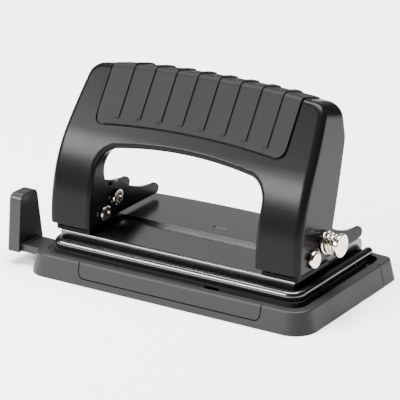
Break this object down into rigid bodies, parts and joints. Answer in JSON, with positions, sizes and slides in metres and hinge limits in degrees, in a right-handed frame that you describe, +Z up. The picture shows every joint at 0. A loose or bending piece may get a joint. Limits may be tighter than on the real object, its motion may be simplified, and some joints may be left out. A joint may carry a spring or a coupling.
{
  "type": "hole punch",
  "caption": "Desk hole punch with a wide lever handle over paired punch heads, sprung lock pin, sliding paper guide and a chip drawer in the base",
  "frame": {"origin": "underside of the base, midway between the two punch axes", "axes": "+X runs along the machine from the paper guide's side to the lock pin's side, +Y points to the side where the paper goes in, +Z is up"},
  "size_m": [0.1186, 0.0656, 0.0692],
  "materials": {
    "handle": "semi-gloss black paint",
    "grip_cover": "matte ribbed rubber",
    "deck_plate": "gloss black enamel",
    "chip_tray": "fine-textured black plastic",
    "chip_drawer": "fine-textured black plastic",
    "paper_guide": "satin black plastic",
    "rubber_feet": "matte rubber",
    "punch_bracket_left": "black painted steel",
    "punch_bracket_right": "black painted steel",
    "punch_guide_left": "plain steel",
    "punch_guide_right": "plain steel",
    "die_bush_left": "hardened steel",
    "die_bush_right": "hardened steel",
    "punch_left": "ground steel",
    "punch_right": "ground steel",
    "bracket_rivets": "plain steel",
    "base_screws": "plain steel",
    "hinge_pin_left": "nickel plated",
    "hinge_pin_right": "nickel plated",
    "drive_pin_left": "nickel plated",
    "lock_pin": "nickel plated",
    "lock_clip": "plain steel",
    "lock_spring": "nickel plated wire",
    "return_spring_left": "spring wire",
    "return_spring_right": "spring wire"
  },
  "bodies": {
    "base": {"chip_tray": "chip_tray", "rubber_feet": "rubber_feet", "deck_plate": "deck_plate", "punch_bracket_left": "punch_bracket_left", "punch_bracket_right": "punch_bracket_right", "punch_guide_left": "punch_guide_left", "punch_guide_right": "punch_guide_right", "die_bush_left": "die_bush_left", "die_bush_right": "die_bush_right", "bracket_rivets": "bracket_rivets", "base_screws": "base_screws", "hinge_pin_left": "hinge_pin_left", "hinge_pin_right": "hinge_pin_right", "return_spring_left": "return_spring_left", "return_spring_right": "return_spring_right"},
    "drawer": {"chip_drawer": "chip_drawer"},
    "lever": {"handle": "handle", "grip_cover": "grip_cover"},
    "punch_left": {"punch_left": "punch_left", "drive_pin_left": "drive_pin_left"},
    "punch_right": {"punch_right": "punch_right"},
    "lock": {"lock_pin": "lock_pin", "lock_clip": "lock_clip", "lock_spring": "lock_spring"},
    "guide": {"paper_guide": "paper_guide"}
  },
  "joints": [
    {"name": "handle_hinge", "type": "hinge", "parent": "base", "child": "lever", "pos_m": [0, -0.0071, 0.0195], "axis": [-1, 0, 0], "range_deg": [0, 28], "stiffness_Nm_per_rad": 0.8, "springref_deg": -14.32, "deforming": ["return_spring_left", "return_spring_right"]},
    {"name": "punch_left_slide", "type": "slide", "parent": "base", "child": "punch_left", "axis": [0, 0, -1], "range_m": [0, 0.0037]},
    {"name": "punch_right_slide", "type": "slide", "parent": "base", "child": "punch_right", "axis": [0, 0, -1], "range_m": [0, 0.0037]},
    {"name": "lock_slide", "type": "slide", "parent": "punch_right", "child": "lock", "axis": [-1, 0, 0], "range_m": [0, 0.0022], "stiffness_N_per_m": 300, "springref_m": -0.002, "deforming": ["lock_spring"]},
    {"name": "guide_slide", "type": "slide", "parent": "base", "child": "guide", "axis": [-1, 0, 0], "range_m": [-0.004, 0.03]},
    {"name": "drawer_slide", "type": "slide", "parent": "base", "child": "drawer", "axis": [0, 1, 0], "range_m": [0, 0.034]}
  ],
  "couplings": [
    {"joint": "punch_left_slide", "follows": "handle_hinge", "m_per_rad": 0.00757},
    {"joint": "punch_right_slide", "follows": "handle_hinge", "m_per_rad": 0.00757}
  ]
}
